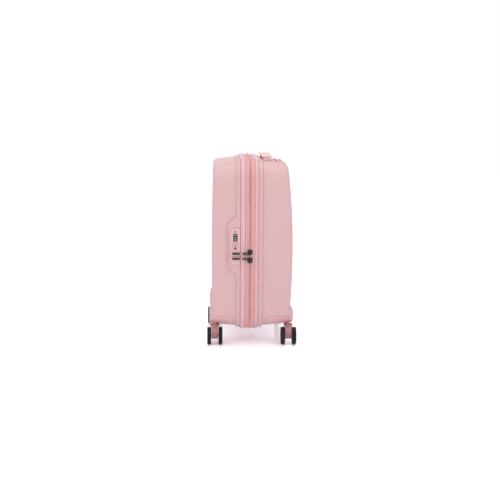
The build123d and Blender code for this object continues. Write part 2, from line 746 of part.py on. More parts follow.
def axle(spot):
    """The axle that both wheels of a caster turn with."""
    reach = WHEEL_GAP / 2 + WHEEL_WIDTH - 1
    x = spot.X + CASTER_TRAIL
    return rod((x, spot.Y - reach, WHEEL_R), (x, spot.Y + reach, WHEEL_R), AXLE_R)


def wheel_pair(spot, outer_r, inner_r, width, edge_r):
    """The same ring on both sides of the fork."""
    made = []
    for side in (-1, 1):
        y = spot.Y + side * (WHEEL_GAP + WHEEL_WIDTH) / 2
        place = Pos(spot.X + CASTER_TRAIL, y, WHEEL_R) * Rot(90, 0, 0)
        disc = place * Cylinder(outer_r, width)
        disc = fillet(disc.edges(), edge_r)
        made.append(disc - place * Cylinder(inner_r, width + 2))
    return made


def divider():
    """The panel that closes off the front half."""
    return extrude(front_plane(DIVIDER_Y + DIVIDER_THICK / 2) * outline(-DIVIDER_INSET), amount=DIVIDER_THICK)


def straps():
    """Four strap arms from the corners of the back half to the buckle."""
    made = []
    middle = (STRAP_START + STRAP_END) / 2
    for x in (-1, 1):
        for z in (-1, 1):
            angle = math.degrees(math.atan2(z * STRAP_SLOPE, x))
            arm = Pos(0, STRAP_Y, CENTRE_Z) * Rot(0, -angle, 0) * Pos(middle, 0, 0)
            made.append(arm * Box(STRAP_END - STRAP_START, STRAP_THICK, STRAP_WIDTH) - buckle())
    return made


def buckle():
    """The buckle that the four strap arms meet at."""
    case = Pos(0, STRAP_Y, CENTRE_Z) * Box(*BUCKLE)
    return fillet(case.edges().filter_by(Axis.Y), BUCKLE_CORNER)


def housing_screws(side):
    """Two screws up through the floor of each wheel housing of one half."""
    made = []
    y = side * (CASTER_Y[side] - HOUSING_SCREW_Y)
    for x in (-1, 1):
        for shift in HOUSING_SCREW_XS:
            spot = (x * (CASTER_X - shift), y)
            neck = HOUSING_SCREW_Z + SCREW_HEAD
            head = rod((*spot, HOUSING_SCREW_Z), (*spot, neck), 2 * SCREW_R)
            made.append(head + rod((*spot, neck), (*spot, HOUSING_SCREW_Z + SCREW_SHANK), SCREW_R))
    return made


def lock_screws():
    """Four screws that hold the lock's case from the inside."""
    made = []
    shift, inset = LOCK_SCREW_SPOT
    for z in (LOCK_LOW + inset, LOCK_HIGH - inset):
        for y in (LOCK_Y - shift, LOCK_Y + shift):
            made.append(rod((LOCK_BACK_X - LOCK_SCREW_HEAD, y, z), (LOCK_BACK_X, y, z), SCREW_R))
    return made


def group(solids):
    """Separate solids that share one node."""
    return Compound(children=list(solids))


def write(name, shape):
    """Writes one node."""
    export_step(shape, f"parts/{name}.step")


def build():
    """Makes every node of the suitcase."""
    os.makedirs("parts", exist_ok=True)
    bodies = {}
    for name, side in (("front", -1), ("back", 1)):
        outer = half_body(side, 0)
        inner = half_body(side, WALL)
        bodies[name] = outer
        case = shell(side, outer, inner)
        if side < 0:
            case = case - lock_case(REACH_X)
        else:
            case = case - trolley_notch() - sleeve_hole(-1) - sleeve_hole(1)
        write(f"{name}_shell", case)
        write(f"{name}_wheel_housings", group(housings(side, outer, inner)))
        write(f"{name}_rim_bead", bead(side))
        write(f"{name}_zip_tape", zip_run(side, ZIP_GAP, BEAD_EDGE, TAPE_LOW, TAPE_HIGH))
        write(f"{name}_zip_teeth", zip_run(side, ZIP_GAP, ZIP_GAP + TEETH_WIDTH, TAPE_HIGH, TEETH_HIGH))
    write("front_lining", lining(-1, FRONT_DEPTH - LINING_FLOOR_GAP))
    write("back_lining", lining(1, BACK_LINING_Y - SEAM_Y))
    write("divider_panel", divider())
    write("packing_straps", group(straps()))
    write("strap_buckle", buckle())
    write("fabric_hinge", fabric_hinge())
    for name, z, tab_z in zip(("upper", "lower"), SLIDER_ZS, SLOT_ZS):
        write(f"{name}_zip_slider", slider(z))
        write(f"{name}_pull_tab", pull_tab(tab_z))
    write("front_housing_screws", group(housing_screws(-1)))
    write("back_housing_screws", group(housing_screws(1)))
    write("lock_plate", lock_plate())
    write("lock_screws", group(lock_screws()))
    write("lock_body", lock_body())
    write("dial_axle", dial_axle())
    for index in range(3):
        write(f"dial_{index + 1}", dial(index))
    write("lock_release_button", lock_button())
    write("lock_key_cylinder", key_cylinder())
    write("lock_reset_pin", reset_pin())
    write("carry_handle", carry_handle())
    write("carry_handle_sleeves", group(handle_sleeve(x) for x in (-1, 1)))
    write("trolley_bezel", trolley_bezel(bodies["back"]))
    write("trolley_outer_tubes", group(tube(TUBE_OUTER, TUBE_LOW, TUBE_TOP, TUBE_WALL)))
    stage_top = NOTCH_Z + BEZEL_WALL
    write("trolley_middle_tubes", group(tube(TUBE_MIDDLE, TUBE_LOW + TUBE_STEP, stage_top, TUBE_WALL)))
    write("trolley_inner_tubes", group(tube(TUBE_INNER, TUBE_LOW + 2 * TUBE_STEP, GRIP_Z, TUBE_WALL)))
    write("trolley_grip", trolley_grip(bodies["back"]))
    write("trolley_button", trolley_button())
    rods = [rod((x, TUBE_Y, ROD_LOW), (x, TUBE_Y, BAR_LOW), ROD_R) for x in (-TUBE_X, TUBE_X)]
    write("trolley_pull_rods", group(rods))
    half_x, half_y = FOOT_HALF
    foot_low = (-half_x, TUBE_Y - half_y, TUBE_LOW - FOOT_HEIGHT)
    write("trolley_foot", box(foot_low, (half_x, TUBE_Y + half_y, TUBE_LOW)))
    for depth_name, side in (("front", -1), ("back", 1)):
        for width_name, x in (("left", -1), ("right", 1)):
            spot = caster_spot(side, x)
            place = f"{depth_name}_{width_name}"
            write(f"caster_fork_{place}", fork(spot))
            write(f"caster_axle_{place}", axle(spot))
            write(f"tyres_{place}", group(wheel_pair(spot, WHEEL_R, WHEEL_HUB_R, WHEEL_WIDTH, TYRE_EDGE_R)))
            hubs = wheel_pair(spot, WHEEL_HUB_R, AXLE_R, WHEEL_WIDTH - HUB_INSET, HUB_EDGE_R)
            write(f"hubs_{place}", group(hubs))


build()
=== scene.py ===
"""The suitcase's looks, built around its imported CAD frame."""

import json
import math

import bmesh
import bpy
from mathutils import Matrix, Vector


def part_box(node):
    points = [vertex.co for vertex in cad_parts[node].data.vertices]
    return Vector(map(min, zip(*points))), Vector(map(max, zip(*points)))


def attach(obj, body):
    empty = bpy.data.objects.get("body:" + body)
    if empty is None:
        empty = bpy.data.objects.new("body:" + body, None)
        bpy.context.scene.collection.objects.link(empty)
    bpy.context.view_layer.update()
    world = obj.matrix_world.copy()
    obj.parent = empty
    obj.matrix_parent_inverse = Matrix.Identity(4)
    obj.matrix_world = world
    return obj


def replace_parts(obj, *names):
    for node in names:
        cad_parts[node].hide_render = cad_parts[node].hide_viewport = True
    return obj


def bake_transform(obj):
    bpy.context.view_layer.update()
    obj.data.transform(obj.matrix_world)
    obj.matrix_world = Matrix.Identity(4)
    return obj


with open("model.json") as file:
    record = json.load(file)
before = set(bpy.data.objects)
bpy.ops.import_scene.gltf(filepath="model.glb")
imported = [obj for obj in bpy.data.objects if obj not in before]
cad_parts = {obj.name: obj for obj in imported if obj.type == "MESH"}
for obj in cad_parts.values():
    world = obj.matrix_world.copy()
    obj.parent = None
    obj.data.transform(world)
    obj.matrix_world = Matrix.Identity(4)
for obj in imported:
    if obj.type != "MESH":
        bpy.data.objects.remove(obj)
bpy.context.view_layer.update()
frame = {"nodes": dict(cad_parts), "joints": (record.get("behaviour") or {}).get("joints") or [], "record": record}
nodes = frame["nodes"]
record = frame["record"]
joints = {j["name"]: j for j in frame["joints"]}

# Places that the frame gives
SEAM_Y = Vector(joints["clamshell_hinge"]["pos_m"]).y
BEAD_LOW, BEAD_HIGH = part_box("front_rim_bead")
MIDDLE_Z = (BEAD_LOW.z + BEAD_HIGH.z) / 2
BEAD_RISE = 0.008
RIM_X = BEAD_HIGH.x - BEAD_RISE
RIM_Z = (BEAD_HIGH.z - BEAD_LOW.z) / 2 - BEAD_RISE
CORNER_R = 0.056
HALVES = (("front", -1), ("back", 1))
CASTERS = [f"{depth}_{width}" for depth in ("front", "back") for width in ("left", "right")]

# Camera, on the lock side and a little above the top of the case
CAMERA_SPOT = Vector((BEAD_HIGH.x + 2.730, SEAM_Y - 0.098, 0.684))
CAMERA_PITCH = math.radians(8.38)
CAMERA_YAW = math.radians(2.05)
CAMERA_ROLL = math.radians(0.4)
CAMERA_LENS = 70.1

# Floor and lamps
FLOOR_HALF = 7
FLOOR_COLOUR = (0.96, 0.93, 0.97, 1)
FLOOR_GLOW = (0.97, 0.93, 1.0, 1)
GLOW_STRENGTH = 0.22
LOW_AIM = (0, 0, 0.3)
HIGH_AIM = (0, 0, 0.4)


def camera():
    """Puts the camera at its spot, looking along -X."""
    data = bpy.data.cameras.new("camera")
    data.lens = CAMERA_LENS
    data.sensor_width = 36
    data.clip_end = 50
    cam = bpy.data.objects.new("camera", data)
    bpy.context.scene.collection.objects.link(cam)
    heading = Matrix.Rotation(math.pi / 2 - CAMERA_YAW, 4, "Z")
    aim = heading @ Matrix.Rotation(math.pi / 2 - CAMERA_PITCH, 4, "X")
    cam.matrix_world = Matrix.Translation(CAMERA_SPOT) @ aim @ Matrix.Rotation(CAMERA_ROLL, 4, "Z")
    bpy.context.scene.camera = cam


def area_light(name, spot, target, size, power):
    """A large soft lamp that points at a target."""
    data = bpy.data.lights.new(name, "AREA")
    data.shape = "RECTANGLE"
    data.size, data.size_y = size
    data.energy = power
    lamp = bpy.data.objects.new(name, data)
    bpy.context.scene.collection.objects.link(lamp)
    lamp.location = spot
    lamp.rotation_euler = (Vector(target) - Vector(spot)).to_track_quat("-Z", "Y").to_euler()


def studio():
    """White surroundings, a pale floor and soft lamps."""
    world = bpy.data.worlds.new("studio")
    world.use_nodes = True
    world.node_tree.nodes["Background"].inputs["Color"].default_value = (1, 1, 1, 1)
    world.node_tree.nodes["Background"].inputs["Strength"].default_value = 1.0
    bpy.context.scene.world = world
    bpy.context.scene.view_settings.view_transform = "Standard"
    pale_floor()
    area_light("key", (2.6, -2.4, 2.6), LOW_AIM, (2.4, 2.4), 38)
    area_light("fill", (2.8, 2.6, 1.8), LOW_AIM, (2.2, 2.2), 22)
    area_light("top", (0.2, 0, 3.0), HIGH_AIM, (2.4, 2.4), 24)


def pale_floor():
    """A plain floor with a soft reflection."""
    mesh = bpy.data.meshes.new("floor")
    work = bmesh.new()
    bmesh.ops.create_grid(work, x_segments=1, y_segments=1, size=FLOOR_HALF)
    work.to_mesh(mesh)
    work.free()
    floor = bpy.data.objects.new("floor", mesh)
    bpy.context.scene.collection.objects.link(floor)
    material = bpy.data.materials.new("floor")
    material.use_nodes = True
    shader = material.node_tree.nodes["Principled BSDF"]
    shader.inputs["Base Color"].default_value = FLOOR_COLOUR
    shader.inputs["Emission Color"].default_value = FLOOR_GLOW
    shader.inputs["Emission Strength"].default_value = GLOW_STRENGTH
    shader.inputs["Roughness"].default_value = 0.16
    shader.inputs["Specular IOR Level"].default_value = 0.35
    mesh.materials.append(material)


# ---------------------------------------------------------------- materials

# Turns bands per metre into the scale of a wave texture
BANDS_TO_SCALE = 0.314


class Shade:
    """A node material under construction."""

    def __init__(self, name, roughness, metallic=0.0):
        self.material = bpy.data.materials.new(name)
        self.material.use_nodes = True
        self.tree = self.material.node_tree
        self.shader = self.tree.nodes["Principled BSDF"]
        self.shader.inputs["Metallic"].default_value = metallic
        self.shader.inputs["Roughness"].default_value = roughness
        self.place = self.node("ShaderNodeTexCoord").outputs["Object"]

    def node(self, kind, **settings):
        """A new node, with its settings."""
        made = self.tree.nodes.new(kind)
        for key, value in settings.items():
            setattr(made, key, value)
        return made

    def link(self, output, target):
        """Joins an output to an input."""
        self.tree.links.new(output, target)

    def noise(self, scale, detail=4.0, stretch=(1, 1, 1)):
        """Noise over the object's own coordinates, in features per metre."""
        mapping = self.node("ShaderNodeMapping")
        mapping.inputs["Scale"].default_value = stretch
        self.link(self.place, mapping.inputs["Vector"])
        made = self.node("ShaderNodeTexNoise")
        made.inputs["Scale"].default_value = scale
        made.inputs["Detail"].default_value = detail
        self.link(mapping.outputs["Vector"], made.inputs["Vector"])
        return made.outputs["Fac"]

    def wave(self, scale, direction, distortion=0.0):
        """Straight bands along one axis, in bands per metre."""
        made = self.node("ShaderNodeTexWave", bands_direction=direction)
        made.inputs["Scale"].default_value = scale * BANDS_TO_SCALE
        made.inputs["Distortion"].default_value = distortion
        self.link(self.place, made.inputs["Vector"])
        return made.outputs["Fac"]

    def ramp(self, fac, low, high):
        """A colour that goes from low to high as fac rises."""
        made = self.node("ShaderNodeValToRGB")
        made.color_ramp.elements[0].position = 0.3
        made.color_ramp.elements[1].position = 0.7
        made.color_ramp.elements[0].color = (*low, 1)
        made.color_ramp.elements[1].color = (*high, 1)
        self.link(fac, made.inputs["Fac"])
        return made.outputs["Color"]

    def span(self, fac, low, high):
        """A number that goes from low to high as fac rises."""
        made = self.node("ShaderNodeMapRange")
        made.inputs["To Min"].default_value = low
        made.inputs["To Max"].default_value = high
        self.link(fac, made.inputs["Value"])
        return made.outputs["Result"]

    def paint(self, fac, colour, dark, light):
        """A base colour that drifts from a dark to a light tint as fac rises."""
        tints = self.ramp(fac, tinted(colour, dark), tinted(colour, light))
        self.link(tints, self.shader.inputs["Base Color"])

    def dullness(self, fac, low, high):
        """A roughness that goes from low to high as fac rises."""
        self.link(self.span(fac, low, high), self.shader.inputs["Roughness"])

    def product(self, first, second):
        """Two numbers multiplied."""
        made = self.node("ShaderNodeMath", operation="MULTIPLY")
        self.link(first, made.inputs[0])
        self.link(second, made.inputs[1])
        return made.outputs["Value"]

    def bump(self, layers):
        """Stacks bumps, each a height output with a strength and a depth in metres."""
        last = None
        for height, strength, distance in layers:
            made = self.node("ShaderNodeBump")
            made.inputs["Strength"].default_value = strength
            made.inputs["Distance"].default_value = distance
            self.link(height, made.inputs["Height"])
            if last:
                self.link(last, made.inputs["Normal"])
            last = made.outputs["Normal"]
        self.link(last, self.shader.inputs["Normal"])


def tinted(colour, factor):
    """A colour made lighter or darker."""
    return tuple(min(1.0, c * factor) for c in colour)


def plastic(name, colour, roughness, grain=900, grain_depth=0.00005, spread=0.05):
    """Moulded plastic: slow colour drift, fine grain, and uneven sheen."""
    shade = Shade(name, roughness)
    shade.paint(shade.noise(7, 3), colour, 1 - spread, 1 + spread)
    shade.dullness(shade.noise(55, 5), roughness - 0.06, roughness + 0.08)
    shade.bump([(shade.noise(grain, 2), 0.25, grain_depth), (shade.noise(16, 2), 0.10, 0.0008)])
    return shade.material


def metal(name, colour, roughness):
    """Plated or brushed metal, with fine scratches along Z."""
    shade = Shade(name, roughness, 1.0)
    lines = shade.noise(2600, 3, (1, 1, 0.04))
    shade.paint(shade.noise(90, 5), colour, 0.93, 1.07)
    shade.dullness(lines, roughness - 0.08, roughness + 0.16)
    shade.bump([(lines, 0.18, 0.00004)])
    return shade.material


def woven(name, colour, pitch=1400, roughness=0.9, depth=0.00018):
    """Woven cloth: crossing threads, slubs and a soft sheen."""
    shade = Shade(name, roughness)
    threads = shade.product(shade.wave(pitch, "Z", 0.4), shade.wave(pitch, "DIAGONAL", 0.4))
    slubs = shade.noise(420, 5)
    shade.paint(slubs, colour, 0.94, 1.05)
    shade.dullness(slubs, roughness - 0.08, min(1.0, roughness + 0.05))
    shade.shader.inputs["Sheen Weight"].default_value = 0.2
    shade.bump([(threads, 0.5, depth), (slubs, 0.10, depth)])
    return shade.material


def rubber(name, colour):
    """Tyre rubber: dull, dusty, with fine pores."""
    shade = Shade(name, 0.62)
    dust = shade.noise(130, 6)
    shade.paint(dust, colour, 0.8, 1.7)
    shade.dullness(dust, 0.48, 0.74)
    shade.shader.inputs["Specular IOR Level"].default_value = 0.16
    shade.bump([(shade.noise(2600, 2), 0.3, 0.00005), (dust, 0.12, 0.0002)])
    return shade.material


def make_materials():
    """One material for each slot of the record."""
    return {
        "shell": plastic("shell_plastic", (0.522, 0.327, 0.331), 0.40, 700, 0.00005, 0.015),
        "housing": plastic("housing_plastic", (0.59, 0.335, 0.352), 0.42, 900),
        "bead": plastic("bead_plastic", (0.555, 0.326, 0.344), 0.34, 1100, 0.00003),
        "zip_tape": woven("zip_tape_weave", (0.69, 0.395, 0.385), 1700),
        "zip_teeth": plastic("zip_teeth_nylon", (0.68, 0.335, 0.325), 0.38, 1500, 0.00003, 0.1),
        "gunmetal": metal("gunmetal_plate", (0.040, 0.042, 0.042), 0.30),
        "lock": plastic("lock_plastic", (0.552, 0.344, 0.346), 0.40, 1100),
        # near-black for the lock's own dark parts and the black tab loop; also painted on steel and lock parts as
        # the shade in holes and recesses
        "lock_inner": plastic("lock_dark_and_hole_shade", (0.008, 0.007, 0.008), 0.62),
        "dial": plastic("dial_dark", (0.020, 0.026, 0.030), 0.40, 1500, 0.00002, 0.2),
        "steel": metal("brushed_steel", (0.55, 0.55, 0.56), 0.32),
        "handle": plastic("handle_plastic", (0.61, 0.42, 0.41), 0.50, 1300, 0.00008),
        "trolley_tube": metal("tube_anodised", (0.72, 0.55, 0.54), 0.30),
        "trolley_plastic": plastic("trolley_plastic", (0.60, 0.32, 0.33), 0.45, 1000),
        "fork": plastic("fork_plastic", (0.40, 0.175, 0.18), 0.44, 900, 0.00006, 0.08),
        "tyre": rubber("tyre_rubber", (0.009, 0.009, 0.012)),
        "hub": plastic("hub_plastic", (0.50, 0.47, 0.55), 0.38, 900),
        "lining": woven("lining_cloth", (0.52, 0.36, 0.37), 1100, 0.82),
        "strap": woven("strap_webbing", (0.30, 0.17, 0.18), 700, 0.85, 0.0004),
        "digit": plastic("digit_paint", (0.62, 0.64, 0.66), 0.55, 2600, 0.00001, 0.08),
        # dark rose lines painted on lock, fork and handle plastic: painted shade standing for grooves
        "groove_shade": plastic("painted_shade_lines", (0.30, 0.085, 0.09), 0.5, 1500, 0.00002, 0.1),
        "thread": woven("sewing_thread", (0.66, 0.36, 0.36), 2600, 0.7, 0.0001),
    }


MATERIALS = make_materials()


def dress_cad():
    """Gives each CAD node the material of its slot."""
    for part in record["subparts"]:
        mesh = nodes[part["node"]].data
        mesh.materials.clear()
        mesh.materials.append(MATERIALS[part["material_slot"]])


# ---------------------------------------------------------------- mesh tools


class Build:
    """Collects vertices and faces, and turns them into one piece."""

    def __init__(self):
        self.verts = []
        self.faces = []

    def loft(self, rings, closed=False):
        """Skins a row of equal rings. An open row gets a cap at each end."""
        first = len(self.verts)
        count = len(rings[0])
        for ring in rings:
            self.verts.extend(Vector(v) for v in ring)
        steps = len(rings) if closed else len(rings) - 1
        for row in range(steps):
            low = first + row * count
            high = first + (row + 1) % len(rings) * count
            for i in range(count):
                j = (i + 1) % count
                self.faces.append((low + i, low + j, high + j, high + i))
        if not closed:
            self.faces.append(tuple(first + i for i in reversed(range(count))))
            self.faces.append(tuple(first + (len(rings) - 1) * count + i for i in range(count)))

    def tube(self, path, radius, sides=10, closed=False):
        """A round bar along a path."""
        path = [Vector(p) for p in path]
        rings = []
        up = None
        for i, point in enumerate(path):
            after = path[(i + 1) % len(path)] if closed or i < len(path) - 1 else point
            before = path[i - 1] if closed or i else point
            along = (after - before).normalized()
            if up is None:
                up = along.orthogonal()
            side = along.cross(up).normalized()
            up = side.cross(along).normalized()
            turns = (2 * math.pi * k / sides for k in range(sides))
            rings.append([point + radius * (side * math.cos(t) + up * math.sin(t)) for t in turns])
        self.loft(rings, closed)

    def pebble(self, centre, half, power=2.6, rows=8, sides=16, turn=None):
        """A rounded block. A higher power makes it boxier."""
        turn = turn or Matrix.Identity(3)
        bend = 2 / power
        rings = []
        for row in range(rows + 1):
            tilt = math.pi * (0.02 + 0.96 * row / rows) - math.pi / 2
            height = soft_power(math.sin(tilt), bend)
            girth = soft_power(math.cos(tilt), bend)
            ring = []
            for k in range(sides):
                around = 2 * math.pi * k / sides
                x = girth * soft_power(math.cos(around), bend)
                y = girth * soft_power(math.sin(around), bend)
                ring.append(Vector(centre) + turn @ Vector((half[0] * x, half[1] * y, half[2] * height)))
            rings.append(ring)
        self.loft(rings)

    def piece(self, name, slot_name, body, material=None, smooth=True):
        """The finished piece, which rides on a body."""
        mesh = bpy.data.meshes.new(name)
        mesh.from_pydata(self.verts, [], self.faces)
        mesh.polygons.foreach_set("use_smooth", [smooth] * len(mesh.polygons))
        work = bmesh.new()
        work.from_mesh(mesh)
        bmesh.ops.recalc_face_normals(work, faces=work.faces)
        work.to_mesh(mesh)
        work.free()
        mesh.materials.append(material or MATERIALS[slot_name])
        obj = bpy.data.objects.new(name, mesh)
        bpy.context.scene.collection.objects.link(obj)
        if body:
            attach(obj, body)
        return obj


def soft_power(value, exponent):
    """A power that keeps the sign of its base."""
    return math.copysign(abs(value) ** exponent, value)


def rim_spot(distance, grow):
    """The point, outward and forward directions at a distance along the rim.

    The distance starts at the middle of the hinge side.
    """
    radius = CORNER_R + grow
    flat_x = RIM_X - CORNER_R
    flat_z = RIM_Z - CORNER_R
    quarter = radius * math.pi / 2
    angle = math.pi
    point = Vector((-flat_x - radius, 0, MIDDLE_Z))
    for run in (flat_z, 2 * flat_x, 2 * flat_z, 2 * flat_x, flat_z):
        outward, forward = headings(angle)
        if distance <= run:
            return point + forward * distance, outward, forward
        point = point + forward * run
        distance -= run
        centre = point - outward * radius
        if distance <= quarter:
            outward, forward = headings(angle - distance / radius)
            return centre + outward * radius, outward, forward
        angle -= math.pi / 2
        distance -= quarter
        point = centre + headings(angle)[0] * radius
    return point, *headings(angle)


def headings(angle):
    """Outward and forward directions on the rim at an angle."""
    cos, sin = math.cos(angle), math.sin(angle)
    return Vector((cos, 0, sin)), Vector((sin, 0, -cos))


def axes_turn(x_axis, z_axis):
    """The turn that lays a piece's own X and Z along two directions, and leaves its Y."""
    return Matrix((x_axis, (0, 1, 0), z_axis)).transposed()


def circle_point(step, steps):
    """Cosine and sine of one step of a full turn."""
    turn = 2 * math.pi * step / steps
    return math.cos(turn), math.sin(turn)


def circle(centre, radius, steps, plane):
    """Points round a circle in a plane such as "YZ"."""
    first, second = ("XYZ".index(axis) for axis in plane)
    ring = []
    for k in range(steps):
        cos, sin = circle_point(k, steps)
        point = Vector(centre)
        point[first] += radius * cos
        point[second] += radius * sin
        ring.append(point)
    return ring


def rim_spots(grow, pitch, margin=0.0, shift=0.0):
    """Even places along the rim. The margin is left free on both sides of the hinge side's middle."""
    length = 4 * (RIM_X + RIM_Z - 2 * CORNER_R) + 2 * math.pi * (CORNER_R + grow) - 2 * margin
    count = round(length / pitch)
    return [rim_spot(margin + (k + shift) * length / count, grow) for k in range(count)]


def rim_path(grow, pitch, y):
    """A closed path along the rim, at one place in Y."""
    return [Vector((p.x, y, p.z)) for p, outward, forward in rim_spots(grow, pitch)]


# ---------------------------------------------------------------- the zip

TAPE_OUT = 0.0052
TOOTH_OUT = TAPE_OUT + 0.0018
TOOTH_PITCH = 0.0024
TOOTH_HALF = (0.0018, 0.0017, 0.00078)
ZIP_GAP = 0.00012
WELT_Y = 0.0094
WELT_OUT = TAPE_OUT + 0.0004
WELT_R = 0.0020
STITCH_ROWS = (0.0049, 0.0066)
STITCH_OUT = TAPE_OUT + 0.0001
STITCH_PITCH = 0.0042
STITCH_HALF = (0.00035, 0.00035, 0.0014)
HINGE_HALF = 0.165
TOOTH_MARGIN = HINGE_HALF + 0.002
STITCH_MARGIN = HINGE_HALF + 0.004

# Cloth strip on the hinge side
STRIP_COLUMNS = 27
STRIP_ROWS = 110
STRIP_THICK = 0.0011
STRIP_INSET = 0.0002
RIB_DEPTH = 0.00012
PUCKER_DEPTH = 0.00010
STRIP_STITCH_Y = 0.0112
STRIP_STITCH_HALF = (0.0004, 0.0004, 0.0014)

# Sliders and pull tabs
BRIDGE_Y = SEAM_Y - 0.002
BRIDGE_R = 0.00115
BRIDGE_RISE = 0.0034
BRIDGE_STEPS = 16
TAB_HALF_X = 0.0012
BAR_Y = 0.0118
LINK_Y = 0.0262
LOOP_Y = 0.0298
LOOP_SLOPE = 0.011


def zip_teeth():
    """Nylon coil teeth on the edge of each tape, offset so that they mesh."""
    for half, side in HALVES:
        build = Build()
        middle = SEAM_Y + side * (TOOTH_HALF[1] + ZIP_GAP)
        shift = 0.25 + side * 0.25
        for point, outward, forward in rim_spots(TOOTH_OUT, TOOTH_PITCH, TOOTH_MARGIN, shift):
            spot = Vector((point.x, middle, point.z))
            build.pebble(spot, TOOTH_HALF, 3.0, 4, 8, axes_turn(outward, forward))
        teeth = build.piece(f"{half}_coil_teeth", "zip_teeth", f"{half}_half")
        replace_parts(teeth, f"{half}_zip_teeth")


def zip_trim():
    """The welts beside the tapes, and the rows of stitches that hold the teeth."""
    for half, side in HALVES:
        build = Build()
        build.tube(rim_path(WELT_OUT, 0.006, SEAM_Y + side * WELT_Y), WELT_R, 12, True)
        build.piece(f"{half}_welt", "bead", f"{half}_half")
        stitches = Build()
        for row in STITCH_ROWS:
            y = SEAM_Y + side * row
            for point, outward, forward in rim_spots(STITCH_OUT, STITCH_PITCH, STITCH_MARGIN):
                spot = Vector((point.x, y, point.z))
                stitches.pebble(spot, STITCH_HALF, 2.2, 4, 6, axes_turn(outward, forward))
        stitches.piece(f"{half}_zip_stitches", "zip_tape", f"{half}_half", MATERIALS["thread"])


def hinge_strip():
    """The ribbed cloth strip that joins the halves."""
    low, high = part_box("fabric_hinge")
    build = Build()
    wide = STRIP_COLUMNS + 1
    for row in range(STRIP_ROWS + 1):
        z = low.z + (high.z - low.z) * row / STRIP_ROWS
        for skin in (0, 1):
            for column in range(wide):
                across = column / STRIP_COLUMNS
                rib = RIB_DEPTH * math.cos(across * STRIP_COLUMNS * math.pi)
                pucker = PUCKER_DEPTH * math.sin(z * 900 + across * 5)
                x = low.x + STRIP_INSET + STRIP_THICK * skin + (pucker - rib) * (1 - skin)
                build.verts.append(Vector((x, low.y + (high.y - low.y) * across, z)))
    around = list(range(wide)) + list(range(2 * wide - 1, wide - 1, -1))
    for row in range(STRIP_ROWS):
        for i, here in enumerate(around):
            after = around[(i + 1) % len(around)]
            base = row * 2 * wide
            build.faces.append((base + here, base + after, base + 2 * wide + after, base + 2 * wide + here))
    build.faces.append(tuple(reversed(around)))
    build.faces.append(tuple(STRIP_ROWS * 2 * wide + i for i in around))
    strip = build.piece("hinge_strip", "zip_tape", None)
    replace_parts(strip, "fabric_hinge")
    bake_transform(strip)
    for half, side in HALVES:
        stitches = Build()
        for k in range(int((high.z - low.z) / STITCH_PITCH)):
            z = low.z + STITCH_PITCH * (k + 0.5)
            spot = (low.x + 0.0001, SEAM_Y + side * STRIP_STITCH_Y, z)
            stitches.pebble(spot, STRIP_STITCH_HALF, 2.2, 4, 6)
        stitches.piece(f"{half}_hinge_stitches", "zip_tape", f"{half}_half", MATERIALS["thread"])


def zip_pulls():
    """Sculpted sliders, and pull tabs made of a bar, a link and a loop."""
    for level in ("upper", "lower"):
        slider_hull(level)
        pull_tab(level)


def slider_hull(level):
    """An oval slider with a raised nose on the side away from the tab, a flange and an arched bridge."""
    low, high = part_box(f"{level}_zip_slider")
    tab_low, tab_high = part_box(f"{level}_pull_tab")
    middle = (low + high) / 2
    half_z = (high.z - low.z) / 2
    away = math.copysign(1, middle.z - (tab_low.z + tab_high.z) / 2)
    plate = (low.x + 0.0028, SEAM_Y, middle.z)
    nose = (low.x + 0.0046, SEAM_Y, middle.z + away * 0.0038)
    flange = (low.x + 0.0021, SEAM_Y - 0.0049, middle.z)
    build = Build()
    build.pebble(plate, (0.0015, 0.0068, half_z - 0.0001), 2.7, 12, 28)
    build.pebble(nose, (0.0022, 0.0048, 0.0034), 2.4, 10, 24)
    build.pebble(flange, (0.0020, 0.0006, half_z - 0.0020), 4, 6, 12)
    reach = half_z - 0.0012
    path = []
    for k in range(BRIDGE_STEPS + 1):
        turn = math.pi * k / BRIDGE_STEPS
        arch = BRIDGE_RISE * math.sin(turn) ** 0.45
        path.append((low.x + 0.0046 + arch, BRIDGE_Y, middle.z - reach * math.cos(turn)))
    build.tube(path, BRIDGE_R, 10)
    hull = build.piece(f"{level}_slider_hull", "gunmetal", f"{level}_slider")
    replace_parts(hull, f"{level}_zip_slider")


def pull_tab(level):
    """A dark bar with rounded ends, a pale link and a black loop round the bridge."""
    low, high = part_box(f"{level}_pull_tab")
    body = f"{level}_tab"
    middle_z = (low.z + high.z) / 2
    flat_x = low.x + TAB_HALF_X
    top_x = high.x - 0.0014
    start = low.y + LOOP_Y
    end = BRIDGE_Y + 0.0016

    def level_x(y):
        return flat_x

    def rising_x(y):
        return flat_x + (top_x - flat_x) * soft_step((y - start - 0.002) / LOOP_SLOPE)

    bar = Build()
    bar.pebble((flat_x, low.y + BAR_Y, middle_z), (TAB_HALF_X, 0.0116, 0.0024), 4.5, 12, 24)
    bar.pebble((flat_x + 0.0010, low.y + BAR_Y, middle_z), (0.0004, 0.0096, 0.0012), 3, 8, 16)
    bar = bar.piece(f"{level}_tab_bar", "gunmetal", body)
    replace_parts(bar, f"{level}_pull_tab")
    link = Build()
    link.tube(racetrack(low.y + LINK_Y, middle_z, 0.0048, 0.0017, level_x), 0.0009, 10, True)
    link.piece(f"{level}_tab_link", "steel", body)
    loop = Build()
    loop.tube(racetrack((start + end) / 2, middle_z, (end - start) / 2, 0.0021, rising_x), 0.0013, 10, True)
    loop.piece(f"{level}_tab_loop", "lock_inner", body)


def soft_step(t):
    """A soft step from 0 to 1."""
    t = min(1.0, max(0.0, t))
    return t * t * (3 - 2 * t)


